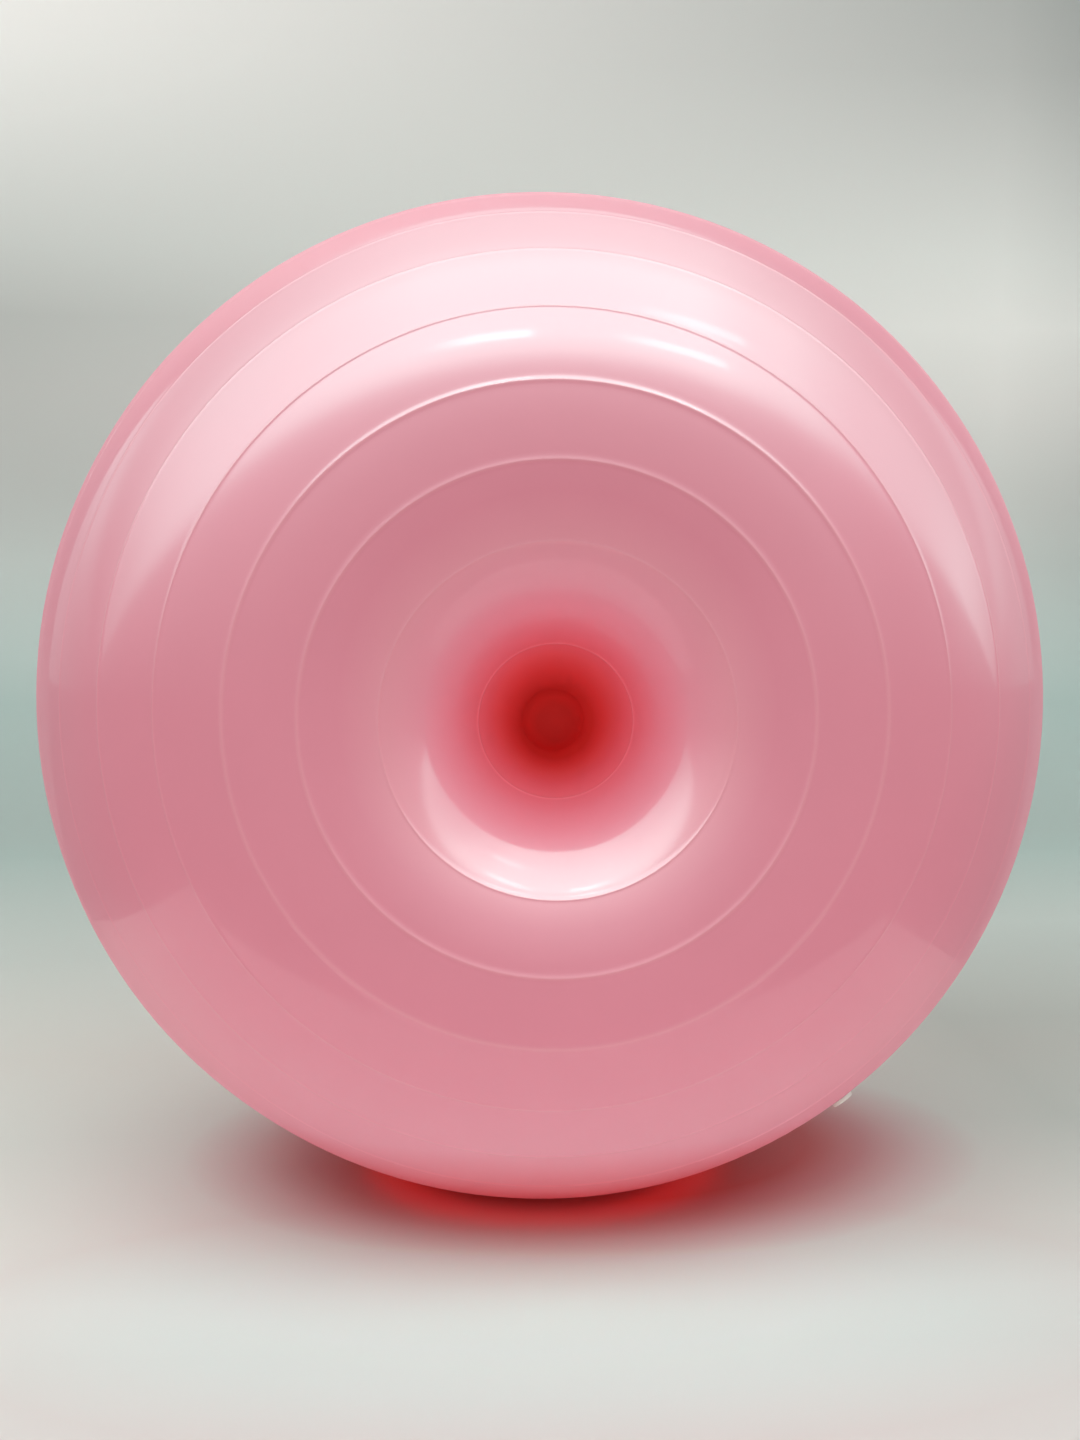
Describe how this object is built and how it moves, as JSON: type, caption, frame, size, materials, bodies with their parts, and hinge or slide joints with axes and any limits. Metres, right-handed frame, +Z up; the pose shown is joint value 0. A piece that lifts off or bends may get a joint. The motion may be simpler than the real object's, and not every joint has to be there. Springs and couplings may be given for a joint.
{
  "type": "donut exercise ball",
  "caption": "Inflatable ring-shaped exercise ball with a deep dimple in each face, concentric moulded ribs and a push-in air plug in its rim.",
  "frame": {"origin": "middle of the flattened patch at the bottom of the rim, on which the ball stands", "axes": "+Z up; the ring's axis is Y, and the face in the picture looks along -Y; +X to the right of someone who looks at that face"},
  "size_m": [0.45, 0.25, 0.4475],
  "materials": {
    "pink_pvc": "glossy, slightly translucent soft PVC",
    "seat_pvc": "satin soft PVC",
    "white_plug": "satin moulded plastic"
  },
  "bodies": {
    "ball": {"ball_skin": "pink_pvc", "valve_seat": "seat_pvc"},
    "plug": {"air_plug": "white_plug"}
  },
  "joints": [
    {"name": "plug_pull", "type": "slide", "parent": "ball", "child": "plug", "axis": [0.5479, -0.4139, -0.727], "range_m": [0, 0.022]}
  ]
}
